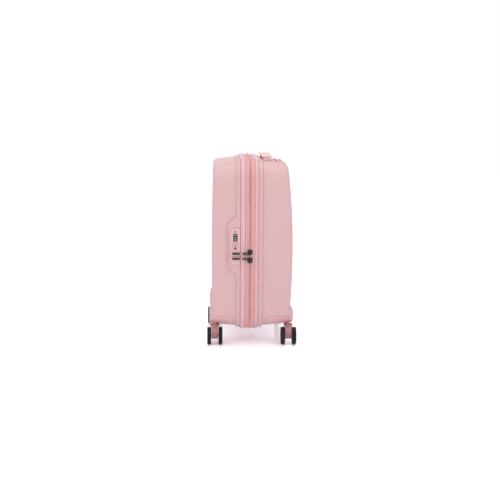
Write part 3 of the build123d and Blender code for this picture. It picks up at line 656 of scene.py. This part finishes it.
def racetrack(middle_y, middle_z, half_y, half_z, x_at, ends=10, runs=8):
    """A closed loop with round ends, whose X follows a function of Y."""
    points = []
    for sign in (1, -1):
        for k in range(ends + 1):
            turn = math.pi * (k / ends - 0.5)
            y = middle_y + sign * (half_y - half_z + half_z * math.cos(turn))
            points.append((y, middle_z + sign * half_z * math.sin(turn)))
        straight = 2 * (half_y - half_z)
        last_y, last_z = points[-1]
        for k in range(1, runs):
            points.append((last_y - sign * straight * k / runs, last_z))
    return [Vector((x_at(y), y, z)) for y, z in points]


# ---------------------------------------------------------------- the lock

LOCK_LOW, LOCK_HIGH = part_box("lock_plate")
FACE_X = LOCK_HIGH.x
LOCK_Y = (LOCK_LOW.y + LOCK_HIGH.y) / 2
DIGITS = 10
DIGIT_SIZE = 0.0046
RIDGE_HALF = (0.00025, 0.0005, 0.0025)
FRAME_GAP = 0.0006
KEY_FRAME_HALF_Y = 0.0084
KEY_FRAME_BELOW = 0.0052
KEY_FRAME_ABOVE = 0.0032
PIN_COLLAR_R = 0.0024
BUTTON_HALF = (0.0009, 0.0052, 0.0035)
BUTTON_RIB_PITCH = 0.0016
BUTTON_RIB_HALF = (0.00025, 0.0034, 0.0003)
KEY_PROFILE = ((0.0045, -0.004), (0.0045, -0.0004), (0.0041, 0), (0.0031, 0), (0.0029, -0.0004))


def digit_mesh(digit):
    """One raised digit, centred on its own origin, as vertices and faces."""
    curve = bpy.data.curves.new("digit", "FONT")
    curve.body = str(digit)
    curve.size = DIGIT_SIZE
    curve.extrude = 0.00012
    curve.offset = 0.00006
    curve.resolution_u = 3
    curve.align_x = "CENTER"
    curve.align_y = "CENTER"
    text = bpy.data.objects.new("digit", curve)
    bpy.context.scene.collection.objects.link(text)
    bpy.context.view_layer.update()
    mesh = bpy.data.meshes.new_from_object(text.evaluated_get(bpy.context.evaluated_depsgraph_get()))
    verts = [v.co.copy() for v in mesh.vertices]
    faces = [tuple(f.vertices) for f in mesh.polygons]
    bpy.data.objects.remove(text)
    bpy.data.curves.remove(curve)
    bpy.data.meshes.remove(mesh)
    return verts, faces


def dial_digits():
    """Ten digits and ten grip ridges round each dial."""
    shapes = [digit_mesh(digit) for digit in range(DIGITS)]
    for index in (1, 2, 3):
        low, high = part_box(f"dial_{index}")
        middle = (low + high) / 2
        radius = (high.x - low.x) / 2
        digits = Build()
        ridges = Build()
        for step in range(DIGITS):
            verts, faces = shapes[(step + 3 * index) % DIGITS]
            around = 2 * math.pi * step / DIGITS
            first = len(digits.verts)
            for v in verts:
                turn = around + v.x / radius
                reach = radius + v.z
                digits.verts.append(middle + Vector((reach * math.cos(turn), reach * math.sin(turn), v.y)))
            digits.faces.extend(tuple(first + i for i in face) for face in faces)
            turn = around + math.pi / DIGITS
            spot = middle + radius * Vector((math.cos(turn), math.sin(turn), 0))
            ridges.pebble(spot, RIDGE_HALF, 3, 6, 8, Matrix.Rotation(turn, 3, "Z"))
        digits.piece(f"dial_{index}_digits", "dial", f"dial_{index}", MATERIALS["digit"], False)
        ridges.piece(f"dial_{index}_ridges", "dial", f"dial_{index}")


def frame_line(build, low_y, high_y, low_z, high_z, radius, corner=0.0012):
    """A thin moulded line round a rectangle on the lock's face."""
    path = []
    for y, z, start in ((high_y, high_z, 0), (low_y, high_z, 1), (low_y, low_z, 2), (high_y, low_z, 3)):
        centre_y = y - math.copysign(corner, y - (low_y + high_y) / 2)
        centre_z = z - math.copysign(corner, z - (low_z + high_z) / 2)
        for k in range(5):
            turn = (start + k / 4) * math.pi / 2
            path.append((FACE_X, centre_y + corner * math.cos(turn), centre_z + corner * math.sin(turn)))
    build.tube(path, radius, 8, True)


def lock_trim():
    """Everything on the lock's face that the frame leaves plain."""
    lock_frames()
    reset_pin()
    release_button()
    key_cylinder()


def lock_frames():
    """Dark lines round the button and the key, and one between the two pull tabs: painted shade standing for
    moulded grooves.
    """
    button_low, button_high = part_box("lock_release_button")
    key_low, key_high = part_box("lock_key_cylinder")
    frames = Build()
    ys = (button_low.y - FRAME_GAP, button_high.y + FRAME_GAP)
    frame_line(frames, *ys, button_low.z - FRAME_GAP, button_high.z + FRAME_GAP, 0.00025)
    ys = (LOCK_Y - KEY_FRAME_HALF_Y, LOCK_Y + KEY_FRAME_HALF_Y)
    frame_line(frames, *ys, key_low.z - KEY_FRAME_BELOW, key_high.z + KEY_FRAME_ABOVE, 0.0003)
    tabs = [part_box(f"{level}_pull_tab") for level in ("lower", "upper")]
    line_z = (tabs[0][1].z + tabs[1][0].z) / 2
    line = [(FACE_X, LOCK_LOW.y + 0.0035, line_z), (FACE_X, LOCK_HIGH.y - 0.0005, line_z)]
    frames.tube(line, 0.0008, 8)
    # lock plastic painted dark along these lines: painted shade of grooves
    frames.piece("lock_frames", "lock", "front_half", MATERIALS["groove_shade"])


def reset_pin():
    """The collar round the reset pin, and the pin's rounded tip, both painted near-black as the shade in and round
    the pin's hole.
    """
    low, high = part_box("lock_reset_pin")
    pin = (low + high) / 2
    # collar and steel tip painted near-black: painted shade in and round the pin's hole
    collar = Build()
    collar.tube(circle((FACE_X + 0.0001, pin.y, pin.z), PIN_COLLAR_R, 20, "YZ"), 0.0004, 8, True)
    collar.piece("pin_collar_painted_shade", "lock", "front_half", MATERIALS["lock_inner"])
    tip = Build()
    tip_r = (high.y - low.y) / 2 * 0.88
    tip.pebble((high.x - 0.0006, pin.y, pin.z), (0.0008, tip_r, tip_r), 3, 8, 16)
    tip.piece("pin_tip_painted_shade", "steel", "lock_reset_pin", MATERIALS["lock_inner"])


def release_button():
    """The release button's cap, with three ribs."""
    low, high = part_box("lock_release_button")
    middle_z = (low.z + high.z) / 2
    cap = Build()
    cap.pebble((high.x - 0.0007, LOCK_Y, middle_z), BUTTON_HALF, 5, 12, 24)
    for k in (-1, 0, 1):
        cap.pebble((high.x + 0.0001, LOCK_Y, middle_z + k * BUTTON_RIB_PITCH), BUTTON_RIB_HALF, 3, 6, 10)
    cap.piece("release_button_cap", "lock", "lock_release_button")


def key_cylinder():
    """The key cylinder's dished face, with the barrel and its keyway painted near-black as the shade in the key
    hole.
    """
    low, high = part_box("lock_key_cylinder")
    key = (low + high) / 2
    face = Build()
    face.loft([circle((high.x + rise, key.y, key.z), reach, 32, "YZ") for reach, rise in KEY_PROFILE])
    cylinder = face.piece("key_cylinder_face", "lock", "lock_key_cylinder")
    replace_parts(cylinder, "lock_key_cylinder")
    # steel barrel and keyway painted near-black: painted shade in the key hole
    barrel = Build()
    barrel.pebble((high.x - 0.0004, key.y, key.z), (0.0006, 0.0030, 0.0030), 6, 10, 24)
    barrel.pebble((high.x, key.y, key.z), (0.0003, 0.0004, 0.0019), 4, 6, 10)
    barrel.piece("key_barrel_painted_shade", "steel", "lock_key_cylinder", MATERIALS["lock_inner"])


# ---------------------------------------------------------------- handle, trolley and wheels

WHEEL_GAP = 0.021
WHEEL_STEPS = 72
SPOKES = 6
STEM_R = 0.013
RING_HEIGHTS = (0.0545, 0.0565)
SCREW_HEAD = 0.0044
SCREW_STEP = 0.026
TUBE_REACH = {"trolley_inner_tubes": 0.0072, "trolley_middle_tubes": 0.0086}
RIB_START = 0.034
RIB_PITCH = 0.0046


def carry_grip():
    """The carry handle: a domed strap with a ribbed underside and two legs."""
    low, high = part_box("carry_handle")
    thick = 0.0048
    round_end = 0.0038
    middle_y = (low.y + high.y) / 2
    half_x = high.x
    half_y = (high.y - low.y) / 2
    grip = Build()
    rings = []
    stations = [half_x - round_end * (1 - math.cos(math.pi / 16 * k)) for k in range(8, -1, -1)]
    inner = [half_x - round_end - (2 * (half_x - round_end)) * k / 40 for k in range(41)]
    places = list(reversed(stations)) + inner[1:-1] + [-x for x in stations]
    for x in places:
        past = max(0.0, (abs(x) - half_x + round_end) / round_end)
        drop = round_end * (1 - math.sqrt(max(0.0, 1 - past * past)))
        dome = 0.0003 * math.cos(math.pi * x / (2 * half_x))
        top = high.z - 0.0003 - drop + dome
        rings.append(strap_section(x, middle_y, half_y, high.z - thick, max(top, high.z - thick + 0.0008)))
    grip.loft(rings)
    for side in (-1, 1):
        leg_x = side * (half_x - 0.0055)
        middle_z = (low.z + high.z - thick) / 2
        leg_half = (0.0054, half_y - 0.0031, middle_z - low.z + 0.001)
        grip.pebble((leg_x, middle_y, middle_z), leg_half, 9, 12, 28)
    for k in range(-9, 10):
        grip.pebble((k * 0.006, middle_y, high.z - thick), (0.0013, half_y - 0.004, 0.0005), 3, 6, 12)
    grip = grip.piece("carry_grip", "handle", "carry_handle")
    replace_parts(grip, "carry_handle")
    # dark lines along the strap's edges: handle plastic painted dark as the shade of grooves
    seams = Build()
    for side in (-1, 1):
        y = middle_y + side * (half_y - 0.0030)
        path = [(x, y, high.z - 0.0006 + 0.0003 * math.cos(math.pi * x / (2 * half_x))) for x in inner[2:-2]]
        seams.tube(path, 0.0003, 6)
    seams.piece("carry_grip_shade_lines", "handle", "carry_handle", MATERIALS["groove_shade"])


def strap_section(x, middle_y, half_y, low_z, high_z):
    """A rounded rectangle across the carry handle."""
    half_z = (high_z - low_z) / 2
    points = []
    for k in range(28):
        cos, sin = circle_point(k, 28)
        y = middle_y + half_y * soft_power(cos, 0.28)
        points.append((x, y, low_z + half_z * (1 + soft_power(sin, 0.5))))
    return points


def mirrored(profile):
    """A profile of radius and width, carried on over the wheel's middle plane."""
    return profile + [(radius, -width) for radius, width in reversed(profile)]


def wheel(build_tyre, build_hub, centre, half_width, outer_r, hub_r):
    """One wheel: a grooved tyre, and a dished hub with spokes."""
    tread = [(hub_r, 1.0), (hub_r + 0.0016, 1.0), (outer_r - 0.0016, 0.98)]
    tread += [(outer_r - 0.0004, 0.86), (outer_r, 0.62), (outer_r, 0.34)]
    tread += [(outer_r - 0.0007, 0.26), (outer_r - 0.0007, 0.16), (outer_r, 0.08)]
    build_tyre.loft(wheel_rings(centre, half_width, mirrored(tread)))
    dish = [(0.0034, 0.70), (0.0068, 0.72), (0.0078, 0.40), (hub_r - 0.0040, 0.40)]
    dish += [(hub_r - 0.0028, 0.94), (hub_r, 0.98)]
    build_hub.loft(wheel_rings(centre, half_width, mirrored(dish)), True)
    reach = (hub_r + 0.0045) / 2
    spoke = ((hub_r - 0.0085) / 2, half_width * 0.30, 0.0012)
    for k in range(SPOKES):
        cos, sin = circle_point(k, SPOKES)
        turn = Matrix.Rotation(-2 * math.pi * k / SPOKES, 3, "Y")
        for side in (-1, 1):
            place = centre + Vector((reach * cos, side * half_width * 0.48, reach * sin))
            build_hub.pebble(place, spoke, 5, 6, 12, turn)


def wheel_rings(centre, half_width, profile):
    """The rings of a shape that is turned about the wheel's axle."""
    rings = []
    for radius, width in profile:
        middle = centre + Vector((0, width * half_width, 0))
        rings.append(circle(middle, radius, WHEEL_STEPS, "XZ"))
    return rings


def casters():
    """Wheels and axle caps of the four casters, and two dark rings on each fork's stem: painted shade standing for
    grooves.
    """
    for name in CASTERS:
        low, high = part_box(f"tyres_{name}")
        centre = (low + high) / 2
        outer_r = (high.z - low.z) / 2
        hub_low, hub_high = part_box(f"hubs_{name}")
        hub_r = (hub_high.z - hub_low.z) / 2
        half_width = (high.y - low.y - WHEEL_GAP) / 4
        tyres, hubs, caps = Build(), Build(), Build()
        for side in (-1, 1):
            middle = centre + Vector((0, side * (WHEEL_GAP / 2 + half_width), 0))
            wheel(tyres, hubs, middle, half_width, outer_r, hub_r)
            cap = middle + Vector((0, side * half_width * 0.8, 0))
            caps.pebble(cap, (0.0048, half_width * 0.16, 0.0048), 3, 8, 20)
        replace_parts(tyres.piece(f"grooved_tyres_{name}", "tyre", f"wheels_{name}"), f"tyres_{name}")
        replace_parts(hubs.piece(f"spoked_hubs_{name}", "hub", f"wheels_{name}"), f"hubs_{name}")
        caps.piece(f"axle_caps_{name}", "steel", f"wheels_{name}")
        # fork plastic painted dark in two rings: painted shade of grooves on the stem
        trim = Build()
        stem_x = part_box(f"caster_fork_{name}")[0].x + STEM_R
        for z in RING_HEIGHTS:
            trim.tube(circle((stem_x, centre.y, z), STEM_R - 0.0002, 48, "XY"), 0.0004, 6, True)
        trim.piece(f"caster_ring_shade_{name}", "fork", f"caster_{name}", MATERIALS["groove_shade"])


def screw_slots():
    """Cross recesses in the heads of the housing screws, drawn as near-black marks: painted shade in the recesses.
    """
    for half, side in HALVES:
        low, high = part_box(f"{half}_housing_screws")
        y = (low.y + high.y) / 2
        build = Build()
        left = low.x + SCREW_HEAD
        right = high.x - SCREW_HEAD
        for x in (left, left + SCREW_STEP, right - SCREW_STEP, right):
            build.pebble((x, y, low.z), (0.0026, 0.0005, 0.0003), 4, 4, 10)
            build.pebble((x, y, low.z), (0.0005, 0.0026, 0.0003), 4, 4, 10)
        # steel crosses painted near-black: painted shade in the recesses
        build.piece(f"{half}_screw_slots", "steel", f"{half}_half", MATERIALS["lock_inner"])


def trolley_detail():
    """A ribbed pad on the grip, ribs on the button, and latch pins at the foot of the upper stages."""
    grip_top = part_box("trolley_grip")[1].z
    button_low, button_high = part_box("trolley_button")
    pad = Build()
    y = (button_low.y + button_high.y) / 2 + 0.0016
    for side in (-1, 1):
        for k in range(9):
            x = side * (RIB_START + k * RIB_PITCH)
            pad.pebble((x, y, grip_top - 0.0022), (0.0012, 0.0040, 0.0009), 3, 6, 12)
    pad.piece("grip_ribs", "trolley_plastic", "trolley_inner", MATERIALS["handle"])
    arrow = Build()
    for k in range(5):
        arrow.pebble((0.0038 * (k - 2), y, button_high.z), (0.0009, 0.0032, 0.0004), 3, 6, 12)
    arrow.piece("button_ribs", "trolley_plastic", "trolley_button", MATERIALS["handle"])
    for node, body in (("trolley_inner_tubes", "trolley_inner"), ("trolley_middle_tubes", "trolley_middle")):
        tube_low, tube_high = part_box(node)
        pins = Build()
        for side in (-1, 1):
            centre_x = side * (tube_high.x - TUBE_REACH[node])
            pins.pebble((centre_x, tube_low.y, tube_low.z + 0.016), (0.0022, 0.0004, 0.0022), 3, 8, 16)
        pins.piece(f"{node}_latch_pins", "steel", body)


# ---------------------------------------------------------------- soft parts inside

DIVIDER_INSET = 0.008
QUILT = 0.042
STRAP_HALF = 0.015
STRAP_THICK = 0.0014
STRAP_SLOPE = 1.25
STRAP_START = 0.034
STRAP_END = 0.256
STRAP_STEPS = 90
ADJUSTER_REACH = 0.085
ADJUSTER_HALF = 0.008
ADJUSTER_R = 0.0011
PIPING_R = 0.0013
BINDING_R = 0.0012
BINDING_STEPS = 24
POCKET_COLUMNS = 120
POCKET_ROWS = 30
QUILT_HIGH = 0.0022
QUILT_RINGS = 60
BUTTON_R = 0.0130
BUTTON_RIM_R = 0.0146


def scaled_rim(share, y):
    """A ring that follows the divider's outline, shrunk towards the middle of the case."""
    ring = []
    for point, outward, forward in rim_spots(-DIVIDER_INSET, 0.009):
        ring.append(Vector((point.x * share, y, MIDDLE_Z + (point.z - MIDDLE_Z) * share)))
    return ring


def quilt_height(x, z, share):
    """The stuffing between diagonal lines of stitching, flat at the panel's edge."""
    across = math.sin(math.pi * (x + z) / QUILT)
    along = math.sin(math.pi * (x - z) / QUILT)
    return QUILT_HIGH * (abs(across * along) ** 0.4) * soft_step((0.90 - share) / 0.05)


def quilted_divider():
    """The padded divider, quilted on the side that faces the opening, with piping and a zip round it."""
    low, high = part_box("divider_panel")
    build = Build()
    rings = []
    for k in range(QUILT_RINGS + 1):
        share = 0.01 + 0.99 * k / QUILT_RINGS
        flat = scaled_rim(share, high.y)
        rings.append([v + Vector((0, quilt_height(v.x, v.z, share), 0)) for v in flat])
    for share in (1.0, 0.5, 0.01):
        rings.append(scaled_rim(share, low.y))
    build.loft(rings)
    panel = build.piece("quilted_divider", "lining", "front_half")
    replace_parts(panel, "divider_panel")
    piping = Build()
    for grow, radius in ((-DIVIDER_INSET - 0.001, PIPING_R), (-DIVIDER_INSET - 0.016, 0.0008)):
        piping.tube(rim_path(grow, 0.008, high.y + 0.0006), radius, 8, True)
    piping.piece("divider_piping", "strap", "front_half")
    coil = Build()
    for point, outward, forward in rim_spots(-DIVIDER_INSET - 0.010, 0.0030, 0.10):
        spot = (point.x, high.y + 0.0008, point.z)
        coil.pebble(spot, (0.0022, 0.0010, 0.0010), 2.6, 4, 8, axes_turn(outward, forward))
    coil.piece("divider_zip", "zip_teeth", "front_half")
    pull = Build()
    pull_z = MIDDLE_Z - 0.040
    pull_x = -RIM_X + DIVIDER_INSET + 0.010
    pull.pebble((pull_x, high.y + 0.0022, pull_z), (0.0040, 0.0018, 0.0056), 2.6, 8, 16)
    pull.pebble((pull_x, high.y + 0.0030, pull_z - 0.016), (0.0024, 0.0009, 0.0100), 4, 8, 16)
    pull.piece("divider_zip_pull", "gunmetal", "front_half")


def pocket(name, body, centre, half_x, half_z, side):
    """A gathered pocket with a bound top edge, sewn flat on its other three sides."""
    build = Build()
    for row in range(POCKET_ROWS + 1):
        rise = row / POCKET_ROWS
        for column in range(POCKET_COLUMNS + 1):
            across = column / POCKET_COLUMNS
            belly = math.sin(math.pi * across)
            slack = belly * soft_step(rise * 1.3) * 0.004
            gather = 0.0009 * rise ** 2 * math.sin(column * 2 * math.pi / 6) * belly
            x = centre[0] + half_x * (2 * across - 1)
            z = centre[2] + half_z * (2 * rise - 1) - 0.004 * rise * belly
            build.verts.append(Vector((x, centre[1] + side * (0.0006 + slack + gather), z)))
    wide = POCKET_COLUMNS + 1
    for row in range(POCKET_ROWS):
        for column in range(POCKET_COLUMNS):
            base = row * wide + column
            build.faces.append((base, base + 1, base + wide + 1, base + wide))
    top = [build.verts[POCKET_ROWS * wide + column].copy() for column in range(wide)]
    cloth = build.piece(name, "lining", body)
    edge = Build()
    edge.tube(top, 0.0017, 8)
    left = centre[0] - half_x
    right = centre[0] + half_x
    low_z = centre[2] - half_z
    high_z = centre[2] + half_z
    corners = [(left, high_z), (left, low_z), (right, low_z), (right, high_z)]
    for start, end in zip(corners, corners[1:]):
        path = []
        for k in range(BINDING_STEPS + 1):
            share = k / BINDING_STEPS
            x = start[0] + (end[0] - start[0]) * share
            z = start[1] + (end[1] - start[1]) * share
            path.append((x, centre[1] + side * 0.0008, z))
        edge.tube(path, BINDING_R, 8)
    edge.piece(f"{name}_binding", "strap", body)


def webbing():
    """Four ribbed strap arms with stitched ends and length adjusters."""
    low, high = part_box("packing_straps")
    middle = Vector((0, (low.y + high.y) / 2, (low.z + high.z) / 2))
    slope = math.atan2(STRAP_SLOPE, 1)
    stitches = Build()
    adjusters = Build()
    for side_x in (-1, 1):
        for side_z in (-1, 1):
            along = Vector((side_x * math.cos(slope), 0, side_z * math.sin(slope)))
            across = Vector((-along.z, 0, along.x))
            name = f"strap_{'right' if side_x > 0 else 'left'}_{'top' if side_z > 0 else 'bottom'}"
            arm = strap_arm(middle, along, across, side_x + 2 * side_z)
            strap = arm.piece(name, "strap", "back_half")
            if (side_x, side_z) == (-1, -1):
                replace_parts(strap, "packing_straps")
            for row in (STRAP_END - 0.006, STRAP_END - 0.022):
                for k in range(-6, 7):
                    spot = middle + along * row + across * (k * 0.0021)
                    spot.y -= STRAP_THICK / 2 + 0.0001
                    stitches.pebble(spot, (0.0003, 0.0003, 0.0008), 2.2, 4, 6, axes_turn(along, across))
            adjuster(adjusters, middle + along * ADJUSTER_REACH, along, across)
    stitches.piece("strap_stitches", "strap", "back_half", MATERIALS["thread"])
    adjusters.piece("strap_adjusters", "steel", "back_half")


def strap_arm(middle, along, across, phase):
    """One arm of webbing, ribbed on its face, with a slight wave along it."""
    arm = Build()
    rings = []
    shares = [i / 12 - 1 for i in range(25)]
    for k in range(STRAP_STEPS + 1):
        spot = middle + along * (STRAP_START + (STRAP_END - STRAP_START) * k / STRAP_STEPS)
        wave = 0.0003 * math.sin(k * 0.31 + phase)
        ring = []
        for share in shares:
            rib = 0.00014 * math.cos(share * 11 * math.pi)
            rise = Vector((0, STRAP_THICK / 2 + rib + wave, 0))
            ring.append(spot + across * STRAP_HALF * share + rise)
        for share in reversed(shares):
            rise = Vector((0, wave - STRAP_THICK / 2, 0))
            ring.append(spot + across * STRAP_HALF * share + rise)
        rings.append(ring)
    arm.loft(rings)
    return arm


def adjuster(build, centre, along, across):
    """A ladder of three bars and two rails on the webbing."""
    centre = centre - Vector((0, 0.0016, 0))
    reach = across * (STRAP_HALF + 0.0012)
    for shift in (-1, 0, 1):
        spot = centre + along * ADJUSTER_HALF * shift
        build.tube([spot - reach, spot + reach], ADJUSTER_R, 8)
    for side in (-1, 1):
        spot = centre + reach * side
        build.tube([spot - along * ADJUSTER_HALF, spot + along * ADJUSTER_HALF], ADJUSTER_R, 8)


def buckle_case():
    """The buckle: a soft-edged case with a raised release button and ribs."""
    low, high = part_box("strap_buckle")
    middle = (low + high) / 2
    half = (high - low) / 2
    case = Build()
    turn = Matrix.Rotation(math.pi / 2, 3, "X")
    case.pebble(middle, (half.x, half.z, half.y), 4.2, 14, 56, turn)
    case = case.piece("strap_buckle_case", "trolley_plastic", "back_half")
    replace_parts(case, "strap_buckle")
    button = Build()
    front_y = low.y - 0.0002
    button.pebble((0, front_y + 0.0006, middle.z), (BUTTON_R, BUTTON_R, 0.0012), 2.4, 8, 36, turn)
    for k in (-2, -1, 0, 1, 2):
        reach = 0.010 * math.sqrt(1 - (k / 3.4) ** 2)
        button.pebble((0, front_y - 0.0005, middle.z + k * 0.0036), (reach, 0.0004, 0.0006), 3, 6, 14)
    button.piece("strap_buckle_button", "handle", "back_half")
    rim = Build()
    rim.tube(circle((0, front_y + 0.0006, middle.z), BUTTON_RIM_R, 48, "XZ"), 0.0007, 8, True)
    rim.piece("strap_buckle_rim", "steel", "back_half")


def lining_edges():
    """Piping round the mouth of each lining, with a row of stitches beside it."""
    for half, side in HALVES:
        low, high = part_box(f"{half}_rim_bead")
        y = high.y - 0.001 if side < 0 else low.y + 0.001
        build = Build()
        build.tube(rim_path(-0.0062, 0.007, y - side * 0.0004), PIPING_R, 8, True)
        build.piece(f"{half}_lining_piping", "strap", f"{half}_half")
        stitches = Build()
        for point, outward, forward in rim_spots(-0.0045, 0.0052):
            spot = (point.x, y - side * 0.0012, point.z)
            stitches.pebble(spot, (0.0003, 0.0003, 0.0015), 2.2, 4, 6, axes_turn(outward, forward))
        stitches.piece(f"{half}_lining_stitches", "lining", f"{half}_half", MATERIALS["thread"])


def inside():
    """All the soft parts that show once the case is open."""
    quilted_divider()
    buckle_case()
    webbing()
    lining_edges()
    lining_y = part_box("back_lining")[1].y
    pocket("back_pocket", "back_half", (0, lining_y - 0.0016, MIDDLE_Z - 0.105), 0.125, 0.070, -1)
    panel_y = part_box("divider_panel")[1].y
    pocket("divider_pocket", "front_half", (0, panel_y + 0.0022, MIDDLE_Z - 0.110), 0.120, 0.065, 1)


camera()
studio()
dress_cad()
zip_teeth()
zip_trim()
hinge_strip()
zip_pulls()
dial_digits()
lock_trim()
carry_grip()
casters()
screw_slots()
trolley_detail()
inside()
